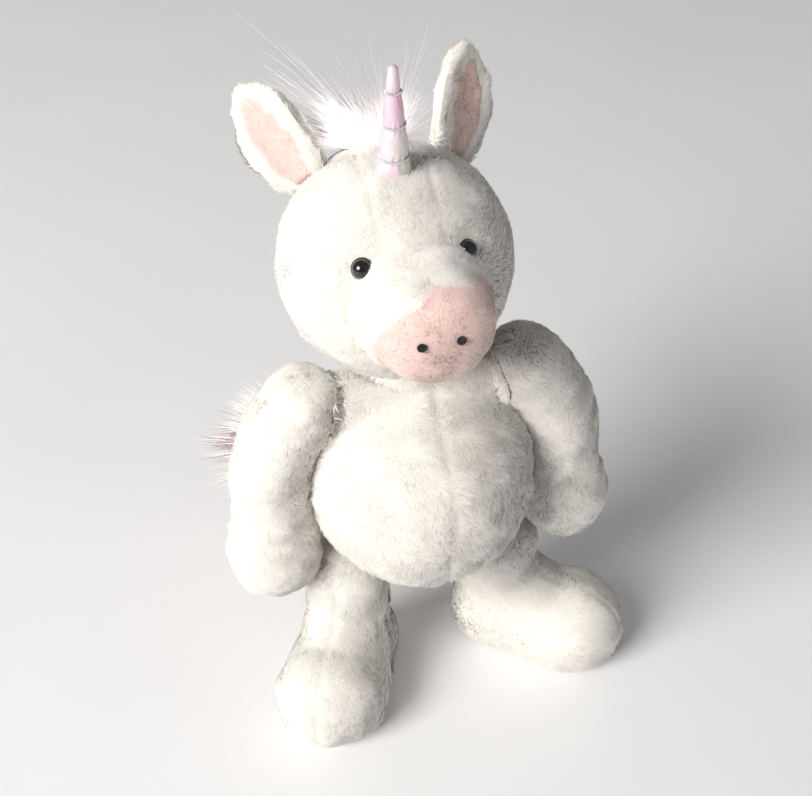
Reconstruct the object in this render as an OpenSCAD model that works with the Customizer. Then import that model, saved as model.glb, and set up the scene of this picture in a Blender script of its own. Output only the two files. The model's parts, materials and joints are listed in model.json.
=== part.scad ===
// Plush unicorn, standing. It faces -Y, its own left side is +X and +Z is up.
// The origin is on the floor, under the middle of the whole toy. Sizes are in millimetres.

/* [Plush cloth] */
// Thickness of the plush cloth, backing and pile together
plush_t = 4; // [2.5:0.5:6]
// Gap between pieces that move on each other
clearance = 0.4; // [0.3:0.05:0.8]
// Width of a sewn seam between two panels
seam_w = 0.8; // [0.4:0.1:1.5]

/* [Body] */
// Greatest radius of the body
body_r = 51; // [42:1:64]
// Height of the body's widest ring above the floor
body_z = 121; // [110:1:140]
// Height of the body above its widest ring
body_up = 49; // [42:1:60]
// Depth of the body below its widest ring, if it were not flat
body_down = 57; // [46:1:66]
// Height of the flat seat above the floor
seat_z = 81; // [76:1:88]
// Y of the body's upright centre line
body_y = -30; // [-45:1:-10]

/* [Neck and head] */
// Radius of the round head
head_r = 50; // [42:1:60]
// Angle at which the head leans back from straight above the body
head_lean = 15; // [0:1:22]
// Angle at which the face looks up
face_up = 9; // [-5:1:25]
// Radius of the wad of stuffing in the neck
neck_r = 20; // [16:1:24]

/* [Muzzle] */
// Radius of the round muzzle
muzzle_r = 24.5; // [19:1:29]
// Distance of the muzzle's centre in front of the head's centre
muzzle_out = 52; // [40:1:52]
// Angle of the muzzle below straight ahead
muzzle_down = 7; // [0:1:25]
// Diameter of an embroidered nostril
nostril_d = 4.2; // [2:0.2:6]
// Angle of the nostrils above the muzzle's middle
nostril_up = 10; // [-10:1:25]
// Distance between the nostrils
nostril_gap = 15.2; // [8:0.2:22]

/* [Eyes] */
// Diameter of a safety eye
eye_d = 9.5; // [6:0.5:14]
// Angle of an eye to the side of straight ahead
eye_side = 28; // [20:1:42]
// Angle of an eye above straight ahead
eye_up = 19.5; // [8:1:30]
// Length of the eye's shank behind the plush
shank_len = 12; // [8:1:18]
// Diameter of the eye's shank
shank_d = 3.2; // [2:0.2:4]
// Diameter of the locking washer
washer_d = 13; // [9:1:18]

/* [Horn] */
// Diameter of the horn at its base
horn_base_d = 14.6; // [10:0.2:20]
// Diameter of the horn at its tip
horn_tip_d = 3.6; // [2:0.2:6]
// Length of the horn above the head
horn_len = 48; // [34:1:60]
// Angle of the horn's base above straight ahead
horn_seat = 71; // [60:1:85]
// Angle of the horn's own line above straight ahead
horn_rise = 71; // [60:1:95]
// Number of threads wound round the horn
horn_threads = 3; // [2:1:6]
// Thickness of the horn's cloth
horn_cloth = 0.8; // [0.5:0.1:1.4]
// Diameter of the horn's thread
thread_d = 0.8; // [0.4:0.1:1.2]

/* [Ears] */
// Length of an ear above its seam
ear_len = 46; // [44:1:66]
// Width of an ear at its widest
ear_w = 31; // [24:1:42]
// Radius of the cup that an ear is curled to
ear_cup = 22; // [19:1:40]
// Thickness of the ear's lining
lining_t = 1.6; // [1:0.2:3]
// Width of the plush border round the lining
ear_border = 6; // [3:0.5:9]
// Angle of an ear's seat to the side of the crown
ear_side = 40; // [28:1:48]
// Angle of an ear's seat behind the crown
ear_behind = 12; // [0:1:20]
// Angle at which the left ear leans out
left_ear_out = 21; // [5:1:40]
// Angle at which the right ear leans out
right_ear_out = 32; // [5:1:40]
// Angle at which an ear leans back
ear_back_lean = 20; // [0:1:35]
// Angle at which an ear's open side turns outwards
ear_turn = 28; // [0:1:60]

/* [Mane and tail] */
// Height of the mane's pile above the crown
mane_h = 32; // [25:1:60]
// Width of the mane's pile
mane_w = 34; // [20:1:44]
// Length of the tail
tail_len = 113; // [70:1:130]
// Radius of the tail's pile at its fullest
tail_r = 25; // [15:1:30]
// Height of the tail's seam above the floor
tail_z = 94; // [88:1:110]
// Angle of the tail to the toy's right of straight behind
tail_turn = 58; // [0:1:65]
// Angle at which the tail drops
tail_drop = 14; // [0:1:35]

/* [Arms] */
// Radius of an arm at the shoulder
arm_r = 17; // [14:1:22]
// Radius of the round hand
hand_r = 21; // [18:1:26]
// Height of the shoulder above the body's widest ring
shoulder_up = 46; // [38:1:52]
// Depth of the hand's centre below the body's widest ring
hand_down = 34; // [24:1:44]
// Y of an arm in front of (-) or behind the body's centre line
arm_y = 3; // [-10:1:10]

/* [Legs] */
// Radius of a leg at the hip
leg_r = 19; // [15:1:22]
// Distance of a hip from the middle
hip_x = 38; // [32:1:42]
// Height of a hip above the floor
hip_z = 62; // [58:1:66]
// Y of a hip in front of (-) or behind the body's centre line
hip_y = 5; // [-12:1:10]
// Length of a foot from heel to toe
foot_len = 86; // [60:1:92]
// Greatest radius of a foot
foot_r = 26; // [20:1:30]
// Height of a foot's own line above the floor
foot_z = 16; // [13:1:22]
// Angle at which the right foot turns out
right_foot_turn = 27; // [0:1:60]
// Angle at which the left foot turns out
left_foot_turn = 53; // [0:1:60]

/* [Hidden] */

$fn = 72;
big = 400;                                   // larger than the toy, for cutting in half
left = 1;                                    // side of the toy, as the sign of X
right = -1;
cloth = "#f4eee4";
blush = "#f0cbc2";
pearl = "#f3d9e2";
filling = "#fbfaf6";
gusset_w = 26;                               // width of the strip over the crown
tab_t = 1;                                   // thickness of a sewn tab where a limb joins
tab_angle = 38;                              // half angle that a tab spans
fold_gap = 1.5;                              // room under an ear for its seam to fold
ear_root = 5;                                // depth of an ear below its fold
ear_widest = 0.4;                            // share of an ear's length at which it is widest
stitch_t = 0.6;                              // height of the nostrils' satin stitch
pouch_r = 18;                                // radius of the bag of pellets in the seat
beans_r = 11;                                // radius of the bag of pellets in a foot
label_z = 117;                               // height of the care label above the floor
label_h = 11;                                // length of the care label along the seam
label_t = 0.6;                               // thickness of the folded label
label_sewn = 2;                              // depth of the label inside the seam
label_out = 6;                               // width of the label outside the seam

// Head
lean_dir = [0, sin(head_lean), cos(head_lean)];
neck_at = [0, body_y, body_z] + (point_up(body_r, body_up, head_lean) + clearance) * lean_dir;
head_at = neck_at + (head_r + clearance) * lean_dir;
ahead = [0, -cos(face_up), sin(face_up)];
crown = [0, sin(face_up), cos(face_up)];
muzzle_dir = cos(muzzle_down) * ahead - sin(muzzle_down) * crown;
muzzle_rise = sin(muzzle_down) * ahead + cos(muzzle_down) * crown;
muzzle_at = head_at + muzzle_out * muzzle_dir;

// Limbs
arm_ring = body_r + clearance + arm_r;       // radius of the arm's bend round the body
shoulder_angle = asin(shoulder_up / arm_ring);
upper_arm_r = arm_r - 0.4;                   // the arm is a little slimmer than its round end
hand_at = [arm_ring, body_y + arm_y, body_z - hand_down];
shoulder_at = [arm_ring * cos(shoulder_angle), body_y + arm_y, body_z + shoulder_up];
hip_at = [hip_x, body_y + hip_y, hip_z];
tail_root_r = 7;                             // radius of the tail at its seam
tail_at = [0, body_y + ring_r(tail_z, 0) + clearance + tail_root_r, tail_z];

// Distance from the centre of an ellipse to its edge, at an angle from its upright axis.
function point_up(across, up, angle) = 1 / sqrt(pow(sin(angle) / across, 2) + pow(cos(angle) / up, 2));
// Radius of the body at a height, drawn in by an inset.
function ring_r(z, inset) =
  (body_r - inset) * sqrt(max(0, 1 - pow((z - body_z) / ((z > body_z ? body_up : body_down) - inset), 2)));

// ---- Shared forms ----

// Turns a piece that points along +Z to point along a direction.
module aim(dir) {
  rotate([0, acos(dir[2] / norm(dir)), atan2(dir[1], dir[0])]) children();
}

// Keeps the part of a piece on one side of the middle, short of the seam there.
module half(side) {
  intersection() {
    children();
    translate([side * (big + seam_w) / 2, 0, 0]) cube(big, center = true);
  }
}

// Thin round tab of cloth, curved about a limb's round end and facing a direction.
module sewn_tab(ball_r, dir) {
  intersection() {
    difference() {
      sphere(ball_r + clearance + tab_t);
      sphere(ball_r + clearance);
    }
    aim(dir) cylinder(h = 2 * ball_r, r1 = 0, r2 = 2 * ball_r * tan(tab_angle));
  }
}

// Round hollow that a limb's end and its tab turn in.
module socket(ball_r) {
  sphere(ball_r + 2 * clearance + tab_t);
}

// ---- Body ----

// Pear-shaped body with a flat seat, drawn in by an inset.
module body_form(inset) {
  low = asin((body_z - seat_z - inset) / (body_down - inset));
  curve = [
    for (i = [0 : 40])
      let (a = -low + i * (90 + low) / 40)
        [(body_r - inset) * cos(a), body_z + ((a > 0 ? body_up : body_down) - inset) * sin(a)]
  ];
  translate([0, body_y, 0]) rotate_extrude() polygon(concat([[0, seat_z + inset]], curve));
}

// Every round hollow in the body: neck, shoulders, hips and the tail's root.
module body_sockets() {
  translate(neck_at) sphere(neck_r + clearance);
  translate(tail_at) socket(tail_root_r);
  for (side = [left, right]) {
    scale([side, 1, 1]) translate(shoulder_at) socket(arm_r);
    scale([side, 1, 1]) translate(hip_at) socket(leg_r);
  }
}

// One quarter of the body's cover.
module body_panel(side, front) {
  y = body_y + (front ? -1 : 1) * big / 2;
  color(cloth) half(side) intersection() {
    difference() {
      body_form(0);
      body_form(plush_t);
      body_sockets();
    }
    translate([0, y, 0]) cube([big, big, 2 * big], center = true);
  }
}

// Upright strip of seam between the left and right panels, in front or behind.
module upright_seam(front) {
  y = body_y + (front ? -1 : 1) * big / 2;
  color(cloth) intersection() {
    difference() {
      body_form(0);
      body_form(plush_t);
      body_sockets();
      if (!front) label_place() cube([2 * seam_w, 2 * label_sewn, label_h + 0.2], center = true);
    }
    translate([0, y, 0]) cube([seam_w, big, 2 * big], center = true);
  }
}

// Ball of pellets that weights the seat, drawn out by a margin.
module pouch_form(margin) {
  translate([0, body_y, seat_z + plush_t + pouch_r + 6]) sphere(pouch_r + margin);
}

module body_stuffing() {
  color(filling) difference() {
    body_form(plush_t + clearance / 2);
    body_sockets();
    pouch_form(clearance / 2);
  }
}

module bean_pouch() {
  color("tan") pouch_form(0);
}

// Blank folded label, sewn into the back seam above the tail.
module label_place() {
  translate([0, body_y + ring_r(label_z, 0), label_z]) children();
}

module care_label() {
  depth = label_sewn + label_out;
  color("white") label_place()
    translate([0, label_out - depth / 2 + 0.1, 0]) cube([label_t, depth, label_h], center = true);
}

// ---- Neck and head ----

module neck_stuffing() {
  color(filling) translate(neck_at) sphere(neck_r);
}

// The head's round shell with the holes for the neck, muzzle, horn, eyes and mane.
module head_shell() {
  difference() {
    translate(head_at) sphere(head_r);
    translate(head_at) sphere(head_r - plush_t);
    translate(neck_at) sphere(neck_r + clearance);
    translate(muzzle_at) sphere(muzzle_r);
    horn_place() cylinder(h = 3 * plush_t, d = horn_base_d + 0.1, center = true);
    mane_place() mane_strip(0.1);
    for (side = [left, right]) eye_place(side) cylinder(h = 40, d = shank_d + 0.1, center = true);
  }
}

// The strip that runs over the crown, from the muzzle to the neck.
module gusset_band(w) {
  cube([w, big, 2 * big], center = true);
}

module head_panel(side) {
  color(cloth) intersection() {
    head_shell();
    translate([side * (big + gusset_w) / 2, 0, 0]) cube([big, 2 * big, 2 * big], center = true);
  }
}

module crown_gusset() {
  color(cloth) intersection() {
    head_shell();
    gusset_band(gusset_w);
  }
}

module head_stuffing() {
  color(filling) difference() {
    translate(head_at) sphere(head_r - plush_t - clearance / 2);
    translate(neck_at) sphere(neck_r + clearance);
    translate(muzzle_at) sphere(muzzle_r + clearance / 2);
    horn_place() cylinder(h = 3 * plush_t, d = horn_base_d + clearance, center = true);
    for (side = [left, right]) eye_place(side) {
      cylinder(h = 2 * (shank_len + 1), d = shank_d + clearance, center = true);
      translate([0, 0, -plush_t - 3.2]) cylinder(h = 3.4, d = washer_d + clearance);
    }
  }
}

// ---- Muzzle ----

module nostril_place(side) {
  spread = asin(nostril_gap / 2 / muzzle_r);
  middle = cos(nostril_up) * muzzle_dir + sin(nostril_up) * muzzle_rise;
  dir = cos(spread) * middle + side * sin(spread) * [1, 0, 0];
  translate(muzzle_at + muzzle_r * dir) aim(dir) children();
}

// Round patch of satin stitch that stands on the muzzle's cover.
module nostril(side) {
  color("black") nostril_place(side) cylinder(h = stitch_t, d = nostril_d);
}

// Round snout's shell, open where it is sewn to the head.
module muzzle_cover() {
  color(blush) translate(head_at) aim(muzzle_dir) difference() {
    translate([0, 0, muzzle_out]) sphere(muzzle_r);
    translate([0, 0, muzzle_out]) sphere(muzzle_r - plush_t);
    sphere(head_r - plush_t);
  }
}

module muzzle_stuffing() {
  color(filling) translate(muzzle_at) sphere(muzzle_r - plush_t - clearance / 2);
}

// ---- Eyes ----

// Places a piece where an eye sits, with +Z straight out of the head.
module eye_place(side) {
  dir = cos(eye_up) * (cos(eye_side) * ahead + side * sin(eye_side) * [1, 0, 0]) + sin(eye_up) * crown;
  translate(head_at + head_r * dir) aim(dir) children();
}

module eye(side) {
  dome_r = eye_d * 0.52;
  color("black") eye_place(side) {
    intersection() {
      translate([0, 0, -0.4]) sphere(dome_r);
      translate([0, 0, 0.05]) cylinder(h = eye_d, d = eye_d);
    }
    translate([0, 0, -shank_len]) cylinder(h = shank_len + 0.1, d = shank_d);
  }
}

module eye_washer(side) {
  color("white") eye_place(side) translate([0, 0, -plush_t - 2.9]) difference() {
    cylinder(h = 1.6, d = washer_d);
    translate([0, 0, -1]) cylinder(h = 4, d = shank_d + 0.1);
  }
}

// ---- Horn ----

module horn_place() {
  seat = cos(horn_seat) * ahead + sin(horn_seat) * crown;
  line = cos(horn_rise) * ahead + sin(horn_rise) * crown;
  translate(head_at + (head_r - plush_t) * seat) aim(line) children();
}

// Radius of the horn at a share of its height: a cone that swells between its threads.
function horn_r(u) =
  (horn_base_d + (horn_tip_d - horn_base_d) * u) / 2 * (0.93 + 0.07 * abs(sin(180 * (u * (horn_threads + 0.4) + 0.35))));

horn_full = horn_len + plush_t;
module horn_form(inset) {
  steps = 72;
  curve = [for (i = [0 : steps]) [max(horn_r(i / steps) - inset, 0.3), i / steps * (horn_full - 1 - inset)]];
  rotate_extrude() polygon(concat([[0, 0]], curve, [[0, horn_full - inset]]));
}

module horn_cover() {
  color(pearl) horn_place() difference() {
    horn_form(0);
    translate([0, 0, -0.01]) horn_form(horn_cloth);
    horn_grooves(0);
  }
}

module horn_stuffing() {
  color(filling) horn_place() difference() {
    horn_form(horn_cloth + 0.1);
    horn_grooves(0.1);
  }
}

// Rings of thread in the horn's grooves, drawn out by a margin.
module horn_grooves(margin) {
  for (i = [1 : horn_threads]) {
    u = (i - 0.35) / (horn_threads + 0.4);
    translate([0, 0, u * (horn_full - 1)])
      rotate_extrude() translate([horn_r(u), 0]) circle(thread_d / 2 + margin, $fn = 24);
  }
}

module horn_thread() {
  color("silver") horn_place() horn_grooves(0);
}

// ---- Mane ----

module mane_place() {
  translate(head_at) rotate([-face_up - 22, 0, 0]) translate([0, 0, head_r]) children();
}

// Woven strip that the mane's long pile grows from, sunk into the crown.
module mane_strip(margin) {
  translate([0, 0, -1]) cube([12 + margin, 40 + margin, 2 * plush_t], center = true);
}

module mane() {
  color(blush) mane_place() {
    difference() {
      mane_strip(0);
      translate([0, 0, -head_r]) sphere(head_r - plush_t + clearance);
    }
    intersection() {
      translate([0, 0, mane_h * 0.4]) scale([mane_w / mane_h, 1.1, 1.25]) sphere(mane_h / 2);
      difference() {
        translate([0, 0, mane_h / 2]) cube([mane_w, 60, mane_h], center = true);
        translate([0, 0, -head_r]) sphere(head_r + clearance);
      }
    }
  }
}

// ---- Ears ----

// Places an ear's seam, with +Z along the ear and -Y out of its open side.
module ear_place(side) {
  seat = cos(ear_behind) * (cos(ear_side) * crown + side * sin(ear_side) * [1, 0, 0]) - sin(ear_behind) * ahead;
  lean_out = side == left ? left_ear_out : right_ear_out;
  translate(head_at + (head_r + fold_gap) * seat)
    scale([side, 1, 1]) rotate([0, lean_out, 0]) rotate([-face_up - ear_back_lean, 0, 0])
      rotate([0, 0, ear_turn]) children();
}

// Leaf outline of an ear, drawn in by an inset: two arcs that meet at the tip, cut off at the base.
module ear_outline(inset) {
  widest = ear_len * ear_widest;
  bow = (pow(ear_len - widest, 2) + pow(ear_w / 2, 2)) / ear_w;
  intersection() {
    translate([bow - ear_w / 2, widest]) circle(bow - inset, $fn = 120);
    translate([ear_w / 2 - bow, widest]) circle(bow - inset, $fn = 120);
    translate([-ear_w, 2 * inset - ear_root]) square([2 * ear_w, 2 * ear_len]);
  }
}

// Layer of an ear between two depths of its cup.
module ear_layer(inset, inner, outer) {
  intersection() {
    rotate([90, 0, 0]) linear_extrude(2 * ear_cup, center = true) ear_outline(inset);
    translate([0, -ear_cup, -ear_root - 1]) difference() {
      cylinder(h = 2 * ear_len, r = ear_cup + outer);
      translate([0, 0, -1]) cylinder(h = 2 * ear_len + 2, r = ear_cup + inner);
    }
    translate([-big / 2, -ear_cup, -big / 2]) cube(big);
  }
}

module ear_back(side) {
  color(cloth) difference() {
    ear_place(side) ear_layer(0, 0, plush_t + lining_t);
    ear_place(side) ear_layer(ear_border, 0, lining_t);
    translate(head_at) sphere(head_r + fold_gap);
  }
}

module ear_lining(side) {
  color(blush) ear_place(side) ear_layer(ear_border, 0, lining_t);
}

// ---- Arms ----

// Arm drawn in by an inset: it bends round the body, then hangs to a rounder hand.
module arm_form(side, inset) {
  scale([side, 1, 1]) {
    translate(shoulder_at) sphere(arm_r - inset);
    translate([0, body_y + arm_y, body_z]) rotate([90, 0, 0])
      rotate_extrude(angle = shoulder_angle) translate([arm_ring, 0]) circle(upper_arm_r - inset);
    translate([arm_ring, body_y + arm_y, body_z - hand_down])
      cylinder(h = hand_down + 0.5, r1 = hand_r - inset, r2 = upper_arm_r + 0.1 - inset);
    translate(hand_at + [(hand_r - arm_r) / 2, 0, 0]) sphere(hand_r - inset);
  }
}

module shoulder_tab(side) {
  color(cloth) scale([side, 1, 1]) translate(shoulder_at) sewn_tab(arm_r, [-1, 0, 0]);
}

module arm_cover(side) {
  color(cloth) difference() {
    arm_form(side, 0);
    arm_form(side, plush_t);
  }
}

module arm_stuffing(side) {
  color(filling) arm_form(side, plush_t + clearance / 2);
}

// ---- Legs ----

// Leg drawn in by an inset: round hip, short shank and a long foot turned out.
module leg_form(side, inset) {
  turn = side == left ? left_foot_turn : right_foot_turn;
  ankle = hip_at + [0, 0, foot_z - hip_z];
  intersection() {
    scale([side, 1, 1]) {
      translate(hip_at) sphere(leg_r - inset);
      translate(ankle) cylinder(h = hip_z - foot_z, r = leg_r - inset);
      translate(ankle) rotate([0, 0, turn]) foot_form(inset);
    }
    translate([0, 0, big / 2 + inset]) cube(big, center = true);
  }
}

// Foot along -Y from the ankle, an egg that is fullest at the toes.
module foot_form(inset) {
  heel = foot_r - 4;
  reach = foot_len - foot_r - heel;
  translate([0, -reach, 0]) sphere(foot_r - inset);
  sphere(heel - inset);
  rotate([90, 0, 0]) cylinder(h = reach, r1 = heel - inset, r2 = foot_r - inset);
}

module hip_tab(side) {
  color(cloth) scale([side, 1, 1]) translate(hip_at) sewn_tab(leg_r, [0, 0, 1]);
}

module leg_cover(side) {
  color(cloth) difference() {
    leg_form(side, 0);
    leg_form(side, plush_t);
    cube([big, big, 2 * plush_t], center = true);
  }
}

module sole(side) {
  color(cloth) intersection() {
    leg_form(side, 0);
    cube([big, big, 2 * (plush_t - clearance / 2)], center = true);
  }
}

module beans_form(side, margin) {
  turn = side == left ? left_foot_turn : right_foot_turn;
  scale([side, 1, 1]) translate(hip_at + [0, 0, foot_z - hip_z]) rotate([0, 0, turn])
    translate([0, -foot_len + 2 * foot_r, plush_t + clearance + beans_r - foot_z]) sphere(beans_r + margin);
}

module leg_stuffing(side) {
  color(filling) difference() {
    leg_form(side, plush_t + clearance / 2);
    beans_form(side, clearance / 2);
  }
}

module foot_beans(side) {
  color("tan") beans_form(side, 0);
}

// ---- Tail ----

// Places a piece at the tail's seam, with +Z along the tail.
module tail_place() {
  translate(tail_at) aim([-sin(tail_turn), cos(tail_turn), -tan(tail_drop)]) children();
}

module tail_tab() {
  color(cloth) translate(tail_at) sewn_tab(tail_root_r, [0, -1, 0]);
}

module tail_core() {
  color(blush) tail_place() {
    sphere(tail_root_r);
    cylinder(h = tail_len * 0.55, r1 = tail_root_r - 2, r2 = 3);
  }
}

// Flame-shaped volume of the tail's long pile.
module tail_pile() {
  start = tail_root_r + 3;
  curve = [
    for (i = [0 : 36])
      let (u = i / 36)
        [tail_r * pow(sin(180 * pow(u, 1.3)), 0.7), start + u * (tail_len - start)]
  ];
  color(blush) tail_place() difference() {
    rotate_extrude() polygon(curve);
    cylinder(h = tail_len * 0.55 + clearance, r1 = tail_root_r - 2 + clearance, r2 = 3 + clearance);
  }
}

// ---- The toy ----

body_panel(left, true);  // front_left_body_panel
body_panel(right, true);  // front_right_body_panel
body_panel(left, false);  // back_left_body_panel
body_panel(right, false);  // back_right_body_panel
upright_seam(true);  // belly_seam
upright_seam(false);  // back_seam
body_stuffing();
bean_pouch();
care_label();
neck_stuffing();
head_panel(left);  // left_head_panel
head_panel(right);  // right_head_panel
crown_gusset();
head_stuffing();
muzzle_cover();
muzzle_stuffing();
nostril(left);  // left_nostril
nostril(right);  // right_nostril
eye(left);  // left_eye
eye(right);  // right_eye
eye_washer(left);  // left_eye_washer
eye_washer(right);  // right_eye_washer
horn_cover();
horn_stuffing();
horn_thread();
mane();
ear_back(left);  // left_ear_back
ear_lining(left);  // left_ear_lining
ear_back(right);  // right_ear_back
ear_lining(right);  // right_ear_lining
shoulder_tab(left);  // left_shoulder_tab
arm_cover(left);  // left_arm_cover
arm_stuffing(left);  // left_arm_stuffing
shoulder_tab(right);  // right_shoulder_tab
arm_cover(right);  // right_arm_cover
arm_stuffing(right);  // right_arm_stuffing
hip_tab(left);  // left_hip_tab
leg_cover(left);  // left_leg_cover
sole(left);  // left_sole
leg_stuffing(left);  // left_leg_stuffing
foot_beans(left);  // left_foot_beans
hip_tab(right);  // right_hip_tab
leg_cover(right);  // right_leg_cover
sole(right);  // right_sole
leg_stuffing(right);  // right_leg_stuffing
foot_beans(right);  // right_foot_beans
tail_tab();
tail_core();
tail_pile();
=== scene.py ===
import json

import bpy
import numpy as np
from mathutils import Matrix


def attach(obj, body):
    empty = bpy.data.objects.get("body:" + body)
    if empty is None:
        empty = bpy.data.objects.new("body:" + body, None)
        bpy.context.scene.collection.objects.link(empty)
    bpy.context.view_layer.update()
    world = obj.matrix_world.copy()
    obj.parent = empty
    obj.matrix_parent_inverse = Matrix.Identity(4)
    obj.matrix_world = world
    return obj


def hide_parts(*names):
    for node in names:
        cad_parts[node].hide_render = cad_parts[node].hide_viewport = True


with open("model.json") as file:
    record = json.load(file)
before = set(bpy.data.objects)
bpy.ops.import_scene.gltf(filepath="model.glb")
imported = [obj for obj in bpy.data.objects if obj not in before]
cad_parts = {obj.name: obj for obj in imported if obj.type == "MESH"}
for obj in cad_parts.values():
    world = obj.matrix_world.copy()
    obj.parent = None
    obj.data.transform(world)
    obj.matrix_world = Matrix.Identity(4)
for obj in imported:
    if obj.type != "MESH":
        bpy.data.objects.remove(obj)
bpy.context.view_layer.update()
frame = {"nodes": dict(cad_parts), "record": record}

# ---- View, floor and light ----
# The camera looks down on the toy from the front, a little to its right. The toy stands on a
# plain pale table, lit by one large soft lamp from the front left and by a pale room.
MM = 0.001
joint_at = {j["name"]: np.array(j["pos_m"]) / MM for j in frame["record"]["behaviour"]["joints"]}


def unit(v):
    """Vectors of an array divided by their own lengths."""
    v = np.asarray(v, float)
    return v / np.maximum(np.linalg.norm(v, axis=-1, keepdims=True), 1e-9)


view_side, view_height = np.radians(12.5), np.radians(38)
view_right = np.array([np.cos(view_side), -np.sin(view_side), 0])
across = -np.cos(view_height) * np.array([np.sin(view_side), np.cos(view_side), 0])
view_back = across + [0, 0, np.sin(view_height)]
view_up = np.cross(view_back, view_right)
camera_at = np.array([-109.9, -506.2, 543.0])
roll = np.radians(-3.3)
lens_mm = 62.4
columns = [
    view_right * np.cos(roll) + view_up * np.sin(roll),
    view_up * np.cos(roll) - view_right * np.sin(roll),
    view_back,
]
camera_data = bpy.data.cameras.new("camera")
camera_data.lens = lens_mm
camera_data.sensor_width = 36.0
camera = bpy.data.objects.new("camera", camera_data)
bpy.context.scene.collection.objects.link(camera)
camera_matrix = np.eye(4)
camera_matrix[:3, :3] = np.array(columns).T
camera_matrix[:3, 3] = camera_at * MM
camera.matrix_world = Matrix(camera_matrix.tolist())
bpy.context.scene.camera = camera
bpy.context.scene.view_settings.view_transform = "Standard"


def node_tree(name):
    """A new material with only its Principled shader and output, and a way to add and join nodes."""
    material = bpy.data.materials.new(name)
    material.use_nodes = True
    nodes, links = material.node_tree.nodes, material.node_tree.links

    def add(kind, sockets=None, **settings):
        node = nodes.new("ShaderNode" + kind)
        for key, value in settings.items():
            setattr(node, key, value)
        for key, value in (sockets or {}).items():
            if isinstance(value, bpy.types.NodeSocket):
                links.new(value, node.inputs[key])
            else:
                node.inputs[key].default_value = value
        return node

    return material, nodes["Principled BSDF"], add


def surface(shader, add, colour, height=None, strength=0.5, distance=0.0005, **values):
    """Joins a colour, and a bump made from a height, to a shader and sets its other inputs."""
    links = shader.id_data.links
    links.new(colour, shader.inputs["Base Color"])
    for key, value in values.items():
        shader.inputs[key.replace("_", " ")].default_value = value
    if height is not None:
        bump = add("Bump", {"Height": height, "Strength": strength, "Distance": distance})
        links.new(bump.outputs["Normal"], shader.inputs["Normal"])
        return bump


def ramp(add, factor, stops):
    """A colour ramp of (position, colour) stops, driven by factor."""
    node = add("ValToRGB", {"Fac": factor})
    elements = node.color_ramp.elements
    while len(elements) < len(stops):
        elements.new(0.5)
    for element, (position, colour) in zip(elements, stops):
        element.position = position
        element.color = (*colour, 1.0)
    return node.outputs["Color"]


floor_mesh = bpy.data.meshes.new("table_top")
side = 2.5
corners = [(-side, -side, 0), (side, -side, 0), (side, side, 0), (-side, side, 0)]
floor_mesh.from_pydata(corners, [], [(0, 1, 2, 3)])
table_top = bpy.data.objects.new("table_top", floor_mesh)
bpy.context.scene.collection.objects.link(table_top)
material, shader, add = node_tree("pale_table")
noise = add("TexNoise", {"Vector": add("TexCoord").outputs["Object"], "Scale": 6.0, "Detail": 4.0})
tint = ramp(add, noise.outputs["Fac"], [(0.3, (0.93, 0.925, 0.925)), (0.7, (0.96, 0.955, 0.955))])
surface(shader, add, tint, Roughness=0.7)
floor_mesh.materials.append(material)

world = bpy.data.worlds.new("room")
bpy.context.scene.world = world
world.use_nodes = True
world.node_tree.nodes["Background"].inputs["Color"].default_value = (0.97, 0.98, 1.0, 1.0)
world.node_tree.nodes["Background"].inputs["Strength"].default_value = 0.26


def soft_lamp(name, at, aim, size, power, colour):
    """A square lamp at one point that faces another, in metres."""
    data = bpy.data.lights.new(name, "AREA")
    data.size, data.energy, data.color = size, power, colour
    lamp = bpy.data.objects.new(name, data)
    bpy.context.scene.collection.objects.link(lamp)
    back = unit(np.array(at) - np.array(aim))
    right = unit(np.cross([0, 0, 1], back))
    matrix = np.eye(4)
    matrix[:3, :3] = np.array([right, np.cross(back, right), back]).T
    matrix[:3, 3] = at
    lamp.matrix_world = Matrix(matrix.tolist())


soft_lamp("window", (-2.1, -1.0, 1.70), (0, -0.03, 0.15), 1.50, 88.0, (1.0, 0.985, 0.965))
soft_lamp("fill", (0.9, -1.0, 0.8), (0, -0.03, 0.12), 1.2, 0.8, (0.95, 0.97, 1.0))

# ---- Body ----
# A pear-shaped bag of cream plush, sewn from four panels with a seam down the belly and one
# down the back, and filled with polyester over a bag of pellets in its seat.
body_y, body_z, body_r, body_up, body_down, seat_z = -30.0, 121.0, 51.0, 49.0, 57.0, 81.0
neck_at = joint_at["head_turn"]
tail_at = joint_at["tail_swing"]
shoulder_at = {s: joint_at[f"{s}_arm_swing"] for s in ("left", "right")}
hip_at = {s: joint_at[f"{s}_leg_swing"] for s in ("left", "right")}
arm_r, leg_r, tail_root_r, neck_r, tab_room = 17.0, 19.0, 7.0, 20.0, 1.8
head_lean, head_r = np.radians(15), 50.0
head_at = neck_at + (head_r + 0.4) * np.array([0, np.sin(head_lean), np.cos(head_lean)])


def ring_faces(rings, around):
    """Faces of a closed skin of rings: a fan at each pole, and a band of quads between each two rings."""
    i = np.arange(around)
    j = (i + 1) % around
    rows = np.arange(rings - 1)[:, None] * around + 1
    quads = np.stack([rows + i, rows + j, rows + around + j, rows + around + i], -1).reshape(-1, 4)
    last = 1 + (rings - 1) * around
    first_fan = np.stack([np.zeros(around, int), 1 + j, 1 + i], -1)
    last_fan = np.stack([np.full(around, last + around), last + i, last + j], -1)
    return [*quads.tolist(), *first_fan.tolist(), *last_fan.tolist()]


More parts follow.
